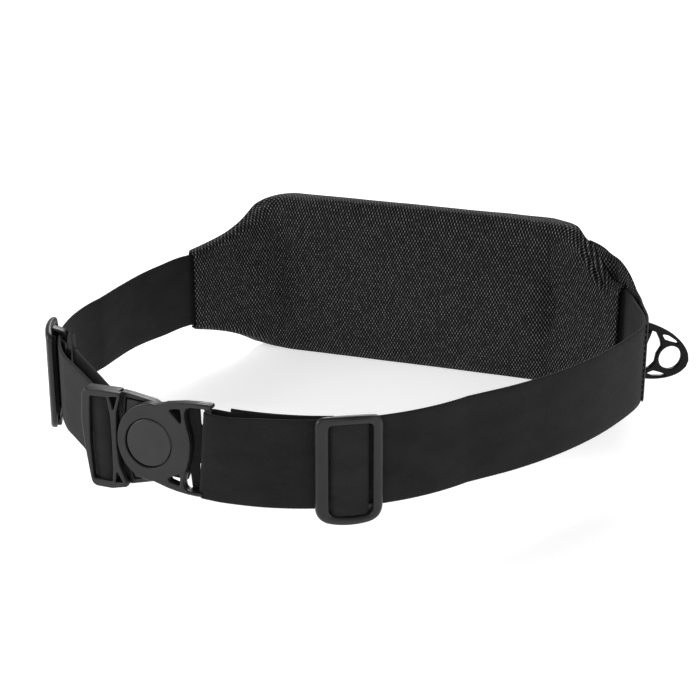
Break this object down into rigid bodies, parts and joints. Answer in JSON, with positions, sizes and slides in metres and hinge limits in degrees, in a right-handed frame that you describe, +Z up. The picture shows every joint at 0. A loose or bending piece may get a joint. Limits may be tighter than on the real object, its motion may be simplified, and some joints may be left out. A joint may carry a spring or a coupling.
{
  "type": "money belt",
  "caption": "Slim waist pouch with air-mesh back, zipped compartment and front pocket, on an adjustable webbing belt closed by a round side-slide buckle.",
  "frame": {"origin": "middle of the pouch's flat wearer side, on its outer face", "axes": "+X along the pouch, +Z up, -Y towards the wearer; the belt's buckle is on the -Y side"},
  "size_m": [0.3494, 0.3325, 0.105],
  "materials": {
    "air_mesh": "open honeycomb spacer mesh, matte",
    "foam": "closed-cell padding, sewn in",
    "lining": "plain woven lining",
    "shell_fabric": "dense plain-woven pack cloth",
    "webbing": "fine-ribbed flat webbing",
    "zip_tape": "woven zip tape",
    "zip_coil": "moulded coil",
    "zip_metal": "dark satin coating on zinc",
    "plastic": "fine-grained satin moulding",
    "steel": "magnet discs, plain"
  },
  "bodies": {
    "pouch_and_belt": {"back_mesh": "air_mesh", "back_foam_pad": "foam", "compartment_back_wall": "lining", "compartment_divider": "lining", "left_wing_fabric": "shell_fabric", "right_wing_fabric": "shell_fabric", "front_panel_lower": "shell_fabric", "front_panel_upper": "shell_fabric", "left_end_panel": "shell_fabric", "right_end_panel": "shell_fabric", "top_gusset": "shell_fabric", "bottom_gusset": "shell_fabric", "pocket_panel": "shell_fabric", "pocket_zip_band": "shell_fabric", "main_zip_tape_lower": "zip_tape", "main_zip_tape_upper": "zip_tape", "main_zip_chain": "zip_coil", "main_zip_stop_left": "zip_metal", "main_zip_stop_right": "zip_metal", "pocket_zip_tape_lower": "zip_tape", "pocket_zip_tape_upper": "zip_tape", "pocket_zip_chain": "zip_coil", "pocket_zip_stop_left": "zip_metal", "pocket_zip_stop_right": "zip_metal", "right_belt": "webbing", "right_belt_return": "webbing", "left_belt": "webbing", "left_belt_return": "webbing", "left_belt_fold": "webbing", "ring_webbing_loop": "webbing", "buckle_receiver": "plastic", "receiver_magnet": "steel"},
    "right_slider_body": {"right_slider": "plastic", "right_belt_hump": "webbing", "right_belt_sewn_end": "webbing"},
    "left_slider_body": {"left_slider": "plastic", "left_belt_hump": "webbing", "left_belt_sewn_end": "webbing"},
    "buckle_disc_body": {"buckle_disc": "plastic", "disc_pad": "plastic", "disc_magnet": "steel", "right_belt_fold": "webbing"},
    "main_zip_slider_body": {"main_zip_slider": "zip_metal"},
    "main_zip_pull_body": {"main_zip_pull": "zip_metal"},
    "pocket_zip_slider_body": {"pocket_zip_slider": "zip_metal"},
    "pocket_zip_pull_body": {"pocket_zip_pull": "zip_metal"},
    "accessory_ring_body": {"accessory_ring": "plastic"}
  },
  "joints": [
    {"name": "right_slider_travel", "type": "hinge", "parent": "pouch_and_belt", "child": "right_slider_body", "pos_m": [-0.02, -0.148, 0], "axis": [0, 0, 1], "range_deg": [-8, 22]},
    {"name": "left_slider_travel", "type": "hinge", "parent": "pouch_and_belt", "child": "left_slider_body", "pos_m": [-0.0511, -0.1566, 0], "axis": [0, 0, 1], "range_deg": [-24, 6]},
    {"name": "buckle_release", "type": "slide", "parent": "pouch_and_belt", "child": "buckle_disc_body", "axis": [0, 0, 1], "range_m": [0, 0.02]},
    {"name": "main_zip_travel", "type": "slide", "parent": "pouch_and_belt", "child": "main_zip_slider_body", "axis": [1, 0, 0], "range_m": [-0.154, 0]},
    {"name": "main_zip_pull_flip", "type": "hinge", "parent": "main_zip_slider_body", "child": "main_zip_pull_body", "pos_m": [0.077, 0.03296, 0.033], "axis": [0, 0, 1], "range_deg": [0, 180]},
    {"name": "pocket_zip_travel", "type": "slide", "parent": "pouch_and_belt", "child": "pocket_zip_slider_body", "axis": [1, 0, 0], "range_m": [-0.154, 0]},
    {"name": "pocket_zip_pull_flip", "type": "hinge", "parent": "pocket_zip_slider_body", "child": "pocket_zip_pull_body", "pos_m": [0.077, 0.043, 0.009], "axis": [0, 0, 1], "range_deg": [0, 180]},
    {"name": "accessory_ring_swing", "type": "hinge", "parent": "pouch_and_belt", "child": "accessory_ring_body", "pos_m": [0.1556, -0.0155, -0.0172], "axis": [0.2098, 0.1023, 0.9724], "range_deg": [-75, 60]}
  ]
}
